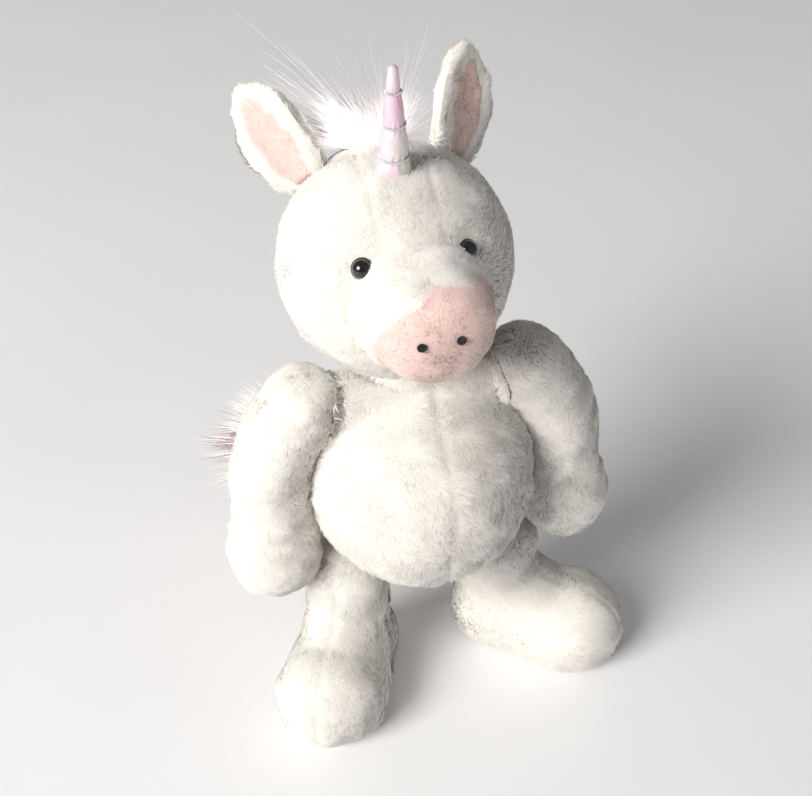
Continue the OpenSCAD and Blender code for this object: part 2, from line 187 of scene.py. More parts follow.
def swept_skin(centres, radii, around=72, start=None, squash=None):
    """Closed skin of round rings along a path, at right angles to it.

    Ring k has its centre at centres[k] and the radius radii[k]; the frame is carried along
    the path from the direction start. squash is the rings' (width, depth) as a share of round.
    """
    centres, radii = np.asarray(centres, float), np.asarray(radii, float)
    tangent = unit(np.gradient(centres, axis=0))
    across = unit(np.cross(tangent, start if start is not None else [0, 1, 0]))
    up = np.cross(across, tangent)
    angle = np.linspace(0, 2 * np.pi, around, endpoint=False)
    wide, deep = squash if squash is not None else (1.0, 1.0)
    ring = (
        np.cos(angle)[None, :, None] * across[:, None] * wide
        - np.sin(angle)[None, :, None] * up[:, None] * deep
    )
    points = centres[:, None] + ring * radii[:, None, None]
    points = np.concatenate([centres[:1], points.reshape(-1, 3), centres[-1:]])
    return points, ring_faces(len(centres), around)


def capped(path, radii, caps=14):
    """Path and radii with a round end added before the first point and after the last one."""
    path, radii = np.asarray(path, float), np.asarray(radii, float)
    angle = np.linspace(0.04, np.pi / 2, caps, endpoint=False)
    first = unit(path[0] - path[1]) * radii[0]
    last = unit(path[-1] - path[-2]) * radii[-1]
    before = path[0] + first * np.cos(angle)[:, None]
    after = path[-1] + last * np.cos(angle[::-1])[:, None]
    sizes = [radii[0] * np.sin(angle), radii, radii[-1] * np.sin(angle[::-1])]
    return np.concatenate([before, path, after]), np.concatenate(sizes)


def new_mesh(name, points, faces):
    """A Blender mesh from points in millimetres."""
    mesh = bpy.data.meshes.new(name)
    mesh.from_pydata((np.asarray(points) * MM).tolist(), [], faces)
    mesh.validate()
    return mesh


def shown(name, mesh, body, material):
    """A smooth piece that rides on a body."""
    piece = bpy.data.objects.new(name, mesh)
    bpy.context.scene.collection.objects.link(piece)
    mesh.polygons.foreach_set("use_smooth", np.ones(len(mesh.polygons), bool))
    mesh.materials.clear()
    mesh.materials.append(material)
    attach(piece, body)
    return piece


def points_of(mesh):
    """(points, unit normals) of a mesh's vertices, in millimetres."""
    co = np.empty(len(mesh.vertices) * 3, np.float32)
    mesh.vertices.foreach_get("co", co)
    normal = np.empty(len(mesh.vertices) * 3, np.float32)
    mesh.vertex_normals.foreach_get("vector", normal)
    return co.reshape(-1, 3).astype(float) / MM, normal.reshape(-1, 3).astype(float)


def set_points(mesh, points):
    """Moves a mesh's vertices to points in millimetres."""
    mesh.vertices.foreach_set("co", (points * MM).astype(np.float32).ravel())
    mesh.update()


def welded_skin(name, skins, voxel=2.0, smooth=6):
    """One closed skin round several closed ones: remeshed on a grid of voxels, then smoothed."""
    points, faces, base = [], [], 0
    for some_points, some_faces in skins:
        points.append(np.asarray(some_points))
        faces += [[base + k for k in face] for face in some_faces]
        base += len(some_points)
    source = bpy.data.objects.new(name, new_mesh(name, np.concatenate(points), faces))
    bpy.context.scene.collection.objects.link(source)
    weld = source.modifiers.new("weld", "REMESH")
    weld.mode, weld.voxel_size = "VOXEL", voxel * MM
    relax = source.modifiers.new("relax", "SMOOTH")
    relax.factor, relax.iterations = 0.5, smooth
    graph = bpy.context.evaluated_depsgraph_get()
    mesh = bpy.data.meshes.new_from_object(source.evaluated_get(graph))
    bpy.data.objects.remove(source)
    mesh.name = name
    return mesh


def waves(points, size, seed):
    """Smooth vector noise from -1 to 1: sines of the place along random directions, one set per axis."""
    rng = np.random.default_rng(seed)
    total = np.zeros((len(points), 3))
    for k in range(5):
        direction = unit(rng.normal(size=(3, 3)))
        phase = rng.uniform(0, 6.28, 3)
        total += np.sin(points @ direction.T * (6.28 / size / (0.7 + 0.25 * k)) + phase)
    return total / 2.6


def tuft_centre(points, size, seed):
    """Nearest point to each point in a cubic grid of the given size whose points are shaken at random."""
    shake_by = np.array([[12.9898, 39.346, 7.235], [78.233, 11.135, 93.989], [37.719, 83.155, 51.327]])
    cell = np.floor(points / size)
    best = np.full(len(points), 1e9)
    nearest = np.zeros_like(points)
    for offset in np.ndindex(3, 3, 3):
        corner = cell + np.array(offset) - 1
        seeds = corner @ shake_by
        shake = np.sin(seeds + seed) * 43758.5453
        place = (corner + shake - np.floor(shake)) * size
        distance = np.linalg.norm(place - points, axis=1)
        closer = distance < best
        best[closer], nearest[closer] = distance[closer], place[closer]
    return nearest


def scattered(mesh, count, seed):
    """Random points over a mesh, evenly by area, with its smooth normals there."""
    rng = np.random.default_rng(seed)
    points, normals = points_of(mesh)
    mesh.calc_loop_triangles()
    tri = np.empty(len(mesh.loop_triangles) * 3, np.int32)
    mesh.loop_triangles.foreach_get("vertices", tri)
    tri = tri.reshape(-1, 3)
    a, b, c = points[tri[:, 0]], points[tri[:, 1]], points[tri[:, 2]]
    area = np.linalg.norm(np.cross(b - a, c - a), axis=1)
    pick = np.searchsorted(np.cumsum(area) / area.sum(), rng.random(count))
    pick = np.minimum(pick, len(tri) - 1)
    u, v = rng.random(count), rng.random(count)
    over = u + v > 1
    u[over], v[over] = 1 - u[over], 1 - v[over]
    share = np.stack([1 - u - v, u, v], -1)[:, :, None]
    return (points[tri[pick]] * share).sum(1), unit((normals[tri[pick]] * share).sum(1))


def strand_mesh(name, spine, side, width, up):
    """Flat tapering fibres: each follows its own spine of points, widened to both sides, to one tip.

    spine is strands x steps x 3, side and up are strands x 3. Each fibre has its own cell of the
    UV map, and the attribute along runs from 0 at its root to 1 at its tip.
    """
    strands, steps, _ = spine.shape
    t = np.linspace(0, 1, steps)[:-1]
    half = (width / 2)[:, None, None] * (1 - 0.55 * t**1.5)[None, :, None] * side[:, None]
    points = np.concatenate([spine[:, :-1] - half, spine[:, :-1] + half, spine[:, -1:]], 1)
    per = 2 * (steps - 1) + 1
    i = np.arange(steps - 2)
    quads = np.stack([i, i + steps - 1, i + steps, i + 1], -1)
    start = (np.arange(strands) * per)[:, None]
    quads = (start[:, :, None] + quads[None]).reshape(-1, 4)
    tips = start + np.array([[steps - 2, 2 * steps - 3, per - 1]])
    mesh = bpy.data.meshes.new(name)
    mesh.vertices.add(strands * per)
    mesh.vertices.foreach_set("co", (points * MM).astype(np.float32).ravel())
    corners = np.concatenate([quads.ravel(), tips.ravel()]).astype(np.int32)
    totals = np.concatenate([np.full(len(quads), 4), np.full(strands, 3)]).astype(np.int32)
    mesh.loops.add(len(corners))
    mesh.loops.foreach_set("vertex_index", corners)
    mesh.polygons.add(len(totals))
    mesh.polygons.foreach_set("loop_start", np.concatenate([[0], np.cumsum(totals)[:-1]]).astype(np.int32))
    mesh.update(calc_edges=True)
    mesh.polygons.foreach_set("use_smooth", np.ones(len(totals), bool))
    cells = int(np.ceil(np.sqrt(strands)))
    cell = np.stack([np.arange(strands) % cells, np.arange(strands) // cells], -1)[:, None]
    local = np.concatenate([
        np.stack([np.full(steps - 1, 0.08), 0.08 + 0.8 * t], -1),
        np.stack([np.full(steps - 1, 0.92), 0.08 + 0.8 * t], -1),
        [[0.5, 0.95]],
    ])
    uv = ((cell + local[None]) / cells).reshape(-1, 2)
    layer = mesh.uv_layers.new(name="OFBake")
    layer.data.foreach_set("uv", uv[corners].astype(np.float32).ravel())
    along = np.tile(np.concatenate([t, t, [1.0]]), strands)
    mesh.attributes.new("along", "FLOAT", "POINT").data.foreach_set("value", along.astype(np.float32))
    face_up = unit(np.cross(side[:, None], np.gradient(spine, axis=1)))
    soft = unit(0.4 * face_up + 0.8 * up[:, None])
    normals = np.concatenate([soft[:, :-1], soft[:, :-1], soft[:, -1:]], 1).reshape(-1, 3)
    mesh.normals_split_custom_set_from_vertices(normals.tolist())
    return mesh


pile_share = 1.0


def pile(
    name, mesh, body, material, count, length, comb,
    keep=None, width=0.6, lay=62, tuft=4.5, pull=0.2, seed=1, trim=None,
):
    """Plush pile on a skin: short bent fibres that lean along comb(points) and gather in tufts.

    Each fibre leaves the skin along its normal n and bends towards the combed direction f:
    tip = root + length (n cos lay + f sin lay), drawn a share pull of the way to its tuft's centre.
    keep(points) picks the roots that stay and trim(points) scales their lengths.
    """
    rng = np.random.default_rng(seed)
    root, n = scattered(mesh, int(count * pile_share), seed)
    if keep is not None:
        chosen = keep(root)
        root, n = root[chosen], n[chosen]
    f = comb(root) + 0.5 * waves(root, 26, seed + 1) + 0.3 * waves(root, 9, seed + 2)
    f = f + 0.18 * rng.normal(size=root.shape)
    f = unit(f - (f * n).sum(1, keepdims=True) * n)
    size = length * rng.uniform(0.7, 1.15, (len(root), 1)) * (1 + 0.18 * waves(root, 12, seed + 3)[:, :1])
    if trim is not None:
        size = size * trim(root)[:, None]
    angle = np.radians(lay + 9 * waves(root, 11, seed + 4)[:, :1] + rng.normal(0, 5, (len(root), 1)))
    gather = tuft_centre(root, tuft, seed) - root
    gather = (gather - (gather * n).sum(1, keepdims=True) * n) * pull * np.minimum(size / length, 1)
    tip = root + size * (n * np.cos(angle) + f * np.sin(angle)) + gather
    middle = root + size * 0.55 * (n * np.cos(angle * 0.45) + f * np.sin(angle * 0.45)) + gather * 0.3
    spine = np.stack([root - n * 0.3, middle, tip], 1)
    side = unit(np.cross(f, n) + 0.12 * rng.normal(size=n.shape))
    widths = width * rng.uniform(0.7, 1.2, len(root))
    fibres = shown(name, strand_mesh(name, spine, side, widths, n), body, material)
    fibres.visible_shadow = False
    return fibres


def fibre_material(name, root_tint_and_shade, tip_colour, vary_colour, roughness=0.75):
    """Soft fibres: darker and warmer at the root, paler at the tip, and a little uneven over the toy.

    On the cream and pink pile the darker root is painted shade deep in the pile, whose fibres cast no
    shadows; on the mane and tail the pinker root is the fibres' own colour.
    """
    material, shader, add = node_tree(name)
    noise = add("TexNoise", {"Vector": add("TexCoord").outputs["Object"], "Scale": 55.0, "Detail": 3.0})
    length = add("Attribute", attribute_name="along").outputs["Fac"]
    # The ramp from root to tip holds the painted shade at the roots of the pile.
    tint_and_root_shade = ramp(add, length, [(0.0, root_tint_and_shade), (0.7, tip_colour), (1.0, tip_colour)])
    blend = add("Mix", {"Factor": 0.3, "A": tint_and_root_shade, "B": vary_colour}, data_type="RGBA")
    limits = {"From Min": 0.45, "From Max": 0.75, "To Max": 0.5}
    spread = add("MapRange", {"Value": noise.outputs["Fac"], **limits})
    material.node_tree.links.new(spread.outputs["Result"], blend.inputs["Factor"])
    sheen = {"Sheen_Weight": 0.35, "Sheen_Roughness": 0.45}
    surface(shader, add, blend.outputs["Result"], Roughness=roughness, **sheen)
    return material


def backing_material(name, colour, deep):
    """Knitted backing under the pile: a fine uneven weave with a soft bump."""
    material, shader, add = node_tree(name)
    place = add("TexCoord").outputs["Object"]
    noise = add("TexNoise", {"Vector": place, "Scale": 900.0, "Detail": 2.0})
    broad = add("TexNoise", {"Vector": place, "Scale": 60.0, "Detail": 3.0})
    tone = ramp(add, broad.outputs["Fac"], [(0.3, deep), (0.7, colour)])
    surface(shader, add, tone, noise.outputs["Fac"], 0.5, 0.0006, Roughness=0.9, Sheen_Weight=0.3)
    return material


# The cream pile's darker root colour is painted shade deep in the pile.
cream_pile = fibre_material("cream_pile", (0.68, 0.635, 0.57), (0.83, 0.807, 0.765), (0.78, 0.75, 0.69, 1))
cream_backing = backing_material("cream_backing", (0.78, 0.75, 0.695), (0.73, 0.69, 0.63))


def inside_balls(points, balls, margin=0.0):
    """True where a point lies within margin of any of the balls (centre, radius)."""
    hit = np.zeros(len(points), bool)
    for centre, radius in balls:
        hit |= np.linalg.norm(points - np.asarray(centre), axis=1) < radius + margin
    return hit


def arm_path(side, steps=30):
    """Middle line of an arm, from the shoulder round the body and down to the hand, with its radii."""
    out = 1 if side == "left" else -1
    ring = body_r + 0.4 + arm_r
    bend = np.arcsin((shoulder_at[side][2] - body_z) / ring)
    angle = np.linspace(bend, 0, steps // 2)
    down = np.linspace(0, hand_down, steps // 2 + 1)[1:]
    x = np.concatenate([ring * np.cos(angle), ring + (hand_r - arm_r) / 2 * (down / hand_down) ** 2])
    z = np.concatenate([body_z + ring * np.sin(angle), body_z - down])
    widening = arm_r + (hand_r - arm_r) * (down / hand_down) ** 1.4
    radii = np.concatenate([np.full(steps // 2, arm_r), widening])
    y = np.full(len(x), shoulder_at[side][1])
    return np.stack([out * x, y, z], -1), radii


hand_r, hand_down = 21.0, 34.0
sockets = [(neck_at, neck_r + 0.4), (tail_at, tail_root_r + tab_room)]
sockets += [(shoulder_at[s], arm_r + tab_room) for s in ("left", "right")]
sockets += [(hip_at[s], leg_r + tab_room) for s in ("left", "right")]


def push_in(points, normals, balls):
    """Points inside a ball, moved straight in along their normals to the ball's far side."""
    points = points.copy()
    for centre, radius in balls:
        away = points - np.asarray(centre)
        along = (away * normals).sum(1)
        inside = (away**2).sum(1) - radius**2
        hit = inside < 0
        depth = along + np.sqrt(np.maximum(along**2 - inside, 0))
        points[hit] -= normals[hit] * depth[hit, None]
    return points


low = np.arcsin((body_z - seat_z) / body_down)
rise = np.linspace(-low, np.pi / 2, 90)
profile_r = np.concatenate([np.linspace(0, 1, 20)[:-1] * body_r * np.cos(low), body_r * np.cos(rise)])
upright = body_z + np.where(rise > 0, body_up, body_down) * np.sin(rise)
profile_z = np.concatenate([np.full(19, seat_z), upright])
run = np.concatenate([[0], np.cumsum(np.hypot(np.diff(profile_r), np.diff(profile_z)))])
even = np.linspace(0.5, run[-1] - 0.5, 130)
profile_r, profile_z = np.interp(even, run, profile_r), np.interp(even, run, profile_z)
kernel = np.ones(9) / 9
for _ in range(2):
    profile_r[4:-4] = np.convolve(profile_r, kernel, "valid")
    profile_z[4:-4] = np.convolve(profile_z, kernel, "valid")
turn = np.linspace(0, 2 * np.pi, 180, endpoint=False)
rings = np.stack([
    profile_r[:, None] * np.sin(turn),
    body_y - profile_r[:, None] * np.cos(turn),
    np.repeat(profile_z[:, None], 180, 1),
], -1)
body_points = np.concatenate([[[0, body_y, seat_z]], rings.reshape(-1, 3), [[0, body_y, body_z + body_up]]])
yoke_x = np.linspace(-42, 42, 40)
yoke_share = yoke_x / 47
yoke_z = 161 + 6 * np.abs(yoke_share) ** 2
yoke_path = np.stack([yoke_x, np.full(40, shoulder_at["left"][1]), yoke_z], -1)
yoke = swept_skin(*capped(yoke_path, 13.5 + 1.5 * np.cos(yoke_share * np.pi)), 72)
body_mesh = welded_skin("body_plush", [(body_points, ring_faces(130, 180)), yoke], 1.6, 30)
points, normals = points_of(body_mesh)


def belly_line(z):
    """X of the belly seam at a height: it wanders a little to the toy's left as it climbs."""
    return 2.0 + 4.5 * np.clip((z - 110) / 60, 0, 1) ** 1.5 + 0.8 * np.sin(z / 9)


front = points[:, 1] < body_y
seam_gap = np.where(front, np.abs(points[:, 0] - belly_line(points[:, 2])), np.abs(points[:, 0]))
side_gap = np.abs(points[:, 1] - body_y)
depth = 0.3 * np.exp(-((seam_gap / 1.8) ** 2)) + 0.5 * np.exp(-((side_gap / 1.8) ** 2))
points = points - normals * (0.6 + depth + 0.5 * waves(points, 40, 5)[:, 0] ** 2)[:, None]
points = push_in(points, normals, [*sockets, (head_at, head_r + 4)])
set_points(body_mesh, points)
body_plush = shown("body_plush", body_mesh, "torso", cream_backing)
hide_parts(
    "front_left_body_panel", "front_right_body_panel", "back_left_body_panel",
    "back_right_body_panel", "belly_seam", "back_seam",
)

arm_balls = {s: list(zip(*arm_path(s))) for s in ("left", "right")}
leg_balls = {s: [(hip_at[s], leg_r), (hip_at[s] - [0, 0, 20.0], leg_r)] for s in ("left", "right")}
body_balls = [((0, body_y, 121), 48.5), ((0, body_y, 113), 46.5), ((0, body_y, 104), 43)]
head_ball = [(head_at, head_r)]
around_body = [*arm_balls["left"], *arm_balls["right"], *leg_balls["left"], *leg_balls["right"], *head_ball]
around_body += [(tail_at, tail_root_r + 2), (neck_at, neck_r)]


def body_comb(points):
    """Straight down, and a little away from the belly seam."""
    away = np.sign(points[:, 0] - belly_line(points[:, 2]))
    near = np.exp(-((np.abs(points[:, 0] - belly_line(points[:, 2])) / 5) ** 2)) * (points[:, 1] < body_y)
    return np.stack([away * near * 0.5, 0 * near, -np.ones(len(points))], -1)


def body_trim(points):
    """Shorter pile beside the seams and at the flat seat."""
    line = np.where(points[:, 1] < body_y, belly_line(points[:, 2]), 0)
    gap = np.abs(points[:, 0] - line)
    return (1 - 0.2 * np.exp(-((gap / 1.2) ** 2))) * np.where(points[:, 2] < seat_z + 3, 0.6, 1.0)


body_pile = pile(
    "body_pile", body_mesh, "torso", cream_pile, 66000, 4.6, body_comb,
    keep=lambda p: ~inside_balls(p, around_body, -1.2), trim=body_trim, tuft=5.5, seed=11,
)

# ---- Head ----
# A round cream head of two side panels and a strip over the crown, stuffed hard. The pile is
# brushed back from the face, and the eyes pull small hollows into the plush.
face_up, muzzle_down, muzzle_out, muzzle_r = np.radians(9), np.radians(7), 52.0, 24.5
ahead = np.array([0, -np.cos(face_up), np.sin(face_up)])
crown = np.array([0, np.sin(face_up), np.cos(face_up)])
muzzle_dir = np.cos(muzzle_down) * ahead - np.sin(muzzle_down) * crown
muzzle_rise = np.sin(muzzle_down) * ahead + np.cos(muzzle_down) * crown
muzzle_at = head_at + muzzle_out * muzzle_dir
eye_side, eye_up = np.radians(28), np.radians(19.5)
x_axis = np.array([1.0, 0, 0])
eye_dir = {
    name: np.sin(eye_up) * crown
    + np.cos(eye_up) * (np.cos(eye_side) * ahead + sign * np.sin(eye_side) * x_axis)
    for name, sign in (("left", 1), ("right", -1))
}
horn_dir = np.cos(np.radians(71)) * ahead + np.sin(np.radians(71)) * crown
horn_base = head_at + 46 * horn_dir


def ball_skin(centre, radius, axis, rings=110, around=160):
    """Closed round skin: ring k stands at the angle (k + 1) / (rings + 1) of a half turn from the axis."""
    axis = unit(axis)
    across = unit(np.cross(axis, [0.13, 0.21, 0.97]))
    up = np.cross(axis, across)
    polar = np.linspace(0, np.pi, rings + 2)[1:-1, None, None]
    angle = np.linspace(0, 2 * np.pi, around, endpoint=False)[None, :, None]
    ring = np.cos(polar) * axis + np.sin(polar) * (np.cos(angle) * across - np.sin(angle) * up)
    points = np.concatenate([[axis], ring.reshape(-1, 3), [-axis]])
    return centre + radius * points, ring_faces(rings, around)


head_mesh = new_mesh("head_plush", *ball_skin(head_at, head_r, crown))
points, normals = points_of(head_mesh)
eye_spots = [head_at + head_r * direction for direction in eye_dir.values()]


def near_eyes(points, reach):
    """One at each eye, falling to nothing as e to the minus square of the distance over the reach."""
    return sum(np.exp(-((np.linalg.norm(points - spot, axis=1) / reach) ** 2)) for spot in eye_spots)


seam = np.exp(-(((np.abs(points[:, 0]) - 13) / 1.4) ** 2)) * (np.abs((points - head_at) @ ahead) < 49)
points = points - normals * (0.5 + 1.6 * near_eyes(points, 7.5) + 0.35 * seam)[:, None]
points = push_in(points, normals, [(neck_at, neck_r + 0.4)])
set_points(head_mesh, points)
head_plush = shown("head_plush", head_mesh, "head", cream_backing)
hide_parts("left_head_panel", "right_head_panel", "crown_gusset")

brow_ball = (head_at + 34 * muzzle_dir, 30.0)
pink_reach = 26.0
pink_axis = unit(muzzle_dir + 0.08 * x_axis - 0.09 * muzzle_rise)


def on_muzzle_patch(points):
    """True where the pile is the muzzle's pink: within its reach of the muzzle's own line, in front."""
    away = points - head_at
    along = away @ pink_axis
    across = away - along[:, None] * pink_axis
    reach = np.linalg.norm(across, axis=1)
    return (along > 0) & (reach + 0.4 * waves(points, 10, 71)[:, 0] < pink_reach)


def face_comb(points):
    """Out from the muzzle over the face, back over the crown and down at the sides."""
    away = unit(points - head_at)
    from_face = away - 0.9 * muzzle_dir
    down = np.clip(0.2 - away[:, 2:3], 0, 1) * np.array([0, 0, -1.0])
    return unit(from_face) + down


def head_trim(points):
    """Shorter pile round the eyes and beside the crown's two seams."""
    close = near_eyes(points, 6.5)
    seam = np.exp(-(((np.abs(points[:, 0]) - 13) / 1.3) ** 2))
    return np.clip(1 - 0.55 * close - 0.2 * seam, 0.2, 1)


def head_keep(points):
    """Pile everywhere but on the pink patch, under the eyes and the horn, and inside the body's top."""
    bare = [(spot, 4.8) for spot in eye_spots] + [(head_at + head_r * horn_dir, 8.2)]
    bare += [*body_balls, (neck_at, neck_r), brow_ball]
    return ~on_muzzle_patch(points) & ~inside_balls(points, bare, -1.0)


head_pile = pile(
    "head_pile", head_mesh, "head", cream_pile, 78000, 3.4, face_comb,
    keep=head_keep, trim=head_trim, seed=21,
)

# ---- Neck ----
# A wad of stuffing in a short collar of the same plush, which lets the head turn and nod.
neck_mesh = new_mesh("neck_plush", *ball_skin(neck_at, neck_r - 0.3, np.array([0, 0, 1.0]), 60, 90))
neck_plush = shown("neck_plush", neck_mesh, "neck", cream_backing)
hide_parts("neck_stuffing")
neck_pile = pile(
    "neck_pile", neck_mesh, "neck", cream_pile, 9000, 4.0, lambda p: np.tile([0, 0, -1.0], (len(p), 1)),
    keep=lambda p: ~inside_balls(p, [*body_balls, (head_at, head_r)], -1.0), seed=31,
)

# ---- Muzzle ----
# A round snout of shorter pale pink plush, stuffed and sewn to the front of the head, with two
# small nostrils worked on it in black satin stitch.
# The pink pile's darker root colour is painted shade deep in the pile.
pink_pile = fibre_material("pink_pile", (0.62, 0.41, 0.36), (0.87, 0.685, 0.63), (0.80, 0.58, 0.52, 1))
pink_backing = backing_material("pink_backing", (0.70, 0.52, 0.47), (0.62, 0.44, 0.39))
snout = [ball_skin(muzzle_at, muzzle_r, muzzle_dir, 70, 110), ball_skin(*brow_ball, muzzle_dir, 70, 110)]
muzzle_mesh = welded_skin("muzzle_plush", snout, 1.1, 12)
points, normals = points_of(muzzle_mesh)
shift_x, widen = 2.2, 0.04
onward = np.clip((points - brow_ball[0]) @ muzzle_dir / 18, 0, 1)[:, None]
points = points + (shift_x + widen * (points - muzzle_at)[:, :1]) * x_axis * onward
points = points - normals * 0.8
set_points(muzzle_mesh, points)
muzzle_plush = shown("muzzle_plush", muzzle_mesh, "head", pink_backing)
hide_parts("muzzle_cover")

nostril_up, nostril_gap, nostril_d = np.radians(10), 15.2, 4.2
nostril_dir = {}
for name, sign in (("left", 1), ("right", -1)):
    spread = np.arcsin(nostril_gap / 2 / muzzle_r)
    middle = np.cos(nostril_up) * muzzle_dir + np.sin(nostril_up) * muzzle_rise
    nostril_dir[name] = np.cos(spread) * middle + sign * np.sin(spread) * x_axis
nostril_balls = [(muzzle_at + muzzle_r * d, nostril_d / 2 - 0.6) for d in nostril_dir.values()]


def muzzle_comb(points):
    """Outwards from the middle of the snout and a little down."""
    away = unit(points - muzzle_at)
    return away - 1.2 * muzzle_dir - 0.35 * muzzle_rise


muzzle_pile = pile(
    "muzzle_pile", muzzle_mesh, "head", pink_pile, 64000, 2.8, muzzle_comb,
    width=0.62, lay=62, tuft=3.2, seed=41,
    keep=lambda p: on_muzzle_patch(p) & ~inside_balls(p, [*nostril_balls, (head_at, head_r - 1.5)]),
)
bridge_pile = pile(
    "bridge_pile", muzzle_mesh, "head", cream_pile, 64000, 3.6, face_comb,
    width=0.65, lay=64, seed=45,
    keep=lambda p: ~on_muzzle_patch(p) & ~inside_balls(p, [(head_at, head_r - 1.0)]),
)
cheek_pile = pile(
    "cheek_pile", head_mesh, "head", pink_pile, 40000, 3.4, face_comb,
    width=0.65, lay=64, tuft=4.0, seed=43,
    keep=lambda p: on_muzzle_patch(p) & ~inside_balls(p, [(muzzle_at, muzzle_r - 1.0), brow_ball]),
)

material, shader, add = node_tree("black_satin_stitch")
along = add("Attribute", attribute_name="across").outputs["Fac"]
stitches = add("Math", {0: along, 1: 70.0}, operation="MULTIPLY").outputs[0]
ridge = add("Math", {0: stitches}, operation="SINE")
tint = ramp(add, ridge.outputs[0], [(0.0, (0.006, 0.006, 0.006)), (1.0, (0.03, 0.028, 0.026))])
surface(shader, add, tint, ridge.outputs[0], 0.6, 0.0003, Roughness=0.45)
satin_black = material


def dome_grid(centre, axis, radius, height, rings=20, around=48, edge=0.6):
    """Closed low dome: at a share s of the radius it stands height (1 - s^4)^edge, over a flat back."""
    axis = unit(axis)
    across = unit(np.cross(axis, [0.1, 0.2, 1.0]))
    up = np.cross(axis, across)
    share = np.concatenate([np.linspace(0.04, 1, rings), [0.9, 0.5]])
    lift = np.concatenate([height * (1 - np.linspace(0.04, 1, rings) ** 4) ** edge, [-0.6, -0.6]])
    angle = np.linspace(0, 2 * np.pi, around, endpoint=False)
    ring = np.cos(angle)[None, :, None] * across - np.sin(angle)[None, :, None] * up
    body = centre + radius * share[:, None, None] * ring + lift[:, None, None] * axis
    points = np.concatenate([[centre + height * axis], body.reshape(-1, 3), [centre - 0.6 * axis]])
    place = np.concatenate([[0], (share[:, None] * np.cos(angle)).ravel(), [0]])
    return points, ring_faces(len(share), around), place


for name, direction in nostril_dir.items():
    seat = muzzle_at + (muzzle_r + 1.0) * direction
    points, faces, place = dome_grid(seat, direction, nostril_d / 2 - 0.3, 1.4)
    points = points + 0.12 * ((points - muzzle_at) @ x_axis - direction[0] * muzzle_r)[:, None] * x_axis
    mesh = new_mesh(f"{name}_nostril_stitch", points, faces)
    mesh.attributes.new("across", "FLOAT", "POINT").data.foreach_set("value", place.astype(np.float32))
    stitch = shown(f"{name}_nostril_stitch", mesh, "head", satin_black)
    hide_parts(f"{name}_nostril")

# ---- Eyes ----
# Glossy black plastic safety eyes: a domed head with a thin flange that sits on the plush, on a
# shank that passes through it to a washer inside.
material, shader, add = node_tree("black_eye_plastic")
noise = add("TexNoise", {"Vector": add("TexCoord").outputs["Object"], "Scale": 300.0, "Detail": 2.0})
tint = ramp(add, noise.outputs["Fac"], [(0.3, (0.004, 0.004, 0.005)), (0.8, (0.009, 0.008, 0.009))])
surface(shader, add, tint, Roughness=0.06, Coat_Weight=0.6, Coat_Roughness=0.03)
eye_black = material
eye_d = 9.5
eye_outline = np.array([
    (0.1, 4.25), (0.22, 4.16), (0.35, 4.0), (0.48, 3.72), (0.6, 3.35), (0.71, 2.9), (0.8, 2.4), (0.87, 1.9),
    (0.92, 1.4), (0.95, 0.95), (0.955, 0.75), (1.0, 0.7), (1.04, 0.62), (1.05, 0.45), (1.04, 0.2), (0.9, 0.0),
    (0.33, -0.1), (0.33, -11.5),
])
eye_share, eye_lift = eye_outline.T
turn = np.linspace(0, 2 * np.pi, 64, endpoint=False)
for name, direction in eye_dir.items():
    across = unit(np.cross(direction, [0, 0, 1.0]))
    up = np.cross(direction, across)
    ring = np.cos(turn)[None, :, None] * across - np.sin(turn)[None, :, None] * up
    seat = head_at + (head_r - 0.9) * direction
    points = seat + eye_share[:, None, None] * (eye_d / 2 - 0.3) * ring
    points = points + eye_lift[:, None, None] * direction
    points = np.concatenate([[seat + 4.28 * direction], points.reshape(-1, 3), [seat - 11.5 * direction]])
    mesh = new_mesh(f"{name}_eye_button", points, ring_faces(len(eye_share), 64))
    eye = shown(f"{name}_eye_button", mesh, "head", eye_black)
    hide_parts(f"{name}_eye")

# ---- Horn ----
# A stuffed cone of thin pearly pink cloth, wound at three places with silver thread that pulls
# it in, so that it swells between them and puckers beside each thread.
horn_full, horn_base_r, horn_tip_r, horn_threads = 52.0, 7.3, 1.8, 3
horn_across = unit(np.cross(horn_dir, [1.0, 0, 0]))
horn_side = np.cross(horn_dir, horn_across)
thread_share = (np.arange(1, horn_threads + 1) - 0.35) / (horn_threads + 0.4)


def horn_radius(share):
    """Radius of the cone at a share of its height, drawn in beside each thread."""
    draw = sum(np.exp(-(((share - t) / 0.035) ** 2)) for t in thread_share)
    swell = 1 + 0.05 * np.sin(np.pi * (share * (horn_threads + 0.4) + 0.35)) ** 2
    return (horn_base_r + (horn_tip_r - horn_base_r) * share) * swell * (1 - 0.07 * draw)


share = np.linspace(0, 0.975, 200)
angle = np.linspace(0, 2 * np.pi, 96, endpoint=False)
tilt = 0.012 * np.cos(angle)[None, :]
grown = horn_radius(share[:, None] + tilt)
near = sum(np.exp(-(((share[:, None] + tilt - t) / 0.06) ** 2)) for t in thread_share)
pucker = 0.03 * near * np.sin(13 * angle + 5 * np.sin(share * 9)[:, None])
grown = grown * (1 + pucker + 0.008 * np.sin(7 * angle + 40 * share[:, None]))
along = share[:, None] * horn_full * np.ones_like(grown)
cap = np.arange(1, 8) / 8 * np.pi / 2
grown = np.concatenate([grown, grown[-1:] * np.cos(cap)[:, None]])
along = np.concatenate([along, along[-1:] + horn_tip_r * np.sin(cap)[:, None]])
ring = np.cos(angle)[None, :, None] * horn_across + np.sin(angle)[None, :, None] * horn_side
points = horn_base + along[..., None] * horn_dir + grown[..., None] * ring
tip = horn_base + (along[-1, 0] + 0.1) * horn_dir
points = np.concatenate([[horn_base], points.reshape(-1, 3), [tip]])
material, shader, add = node_tree("pearly_horn_cloth")
place = add("TexCoord").outputs["Object"]
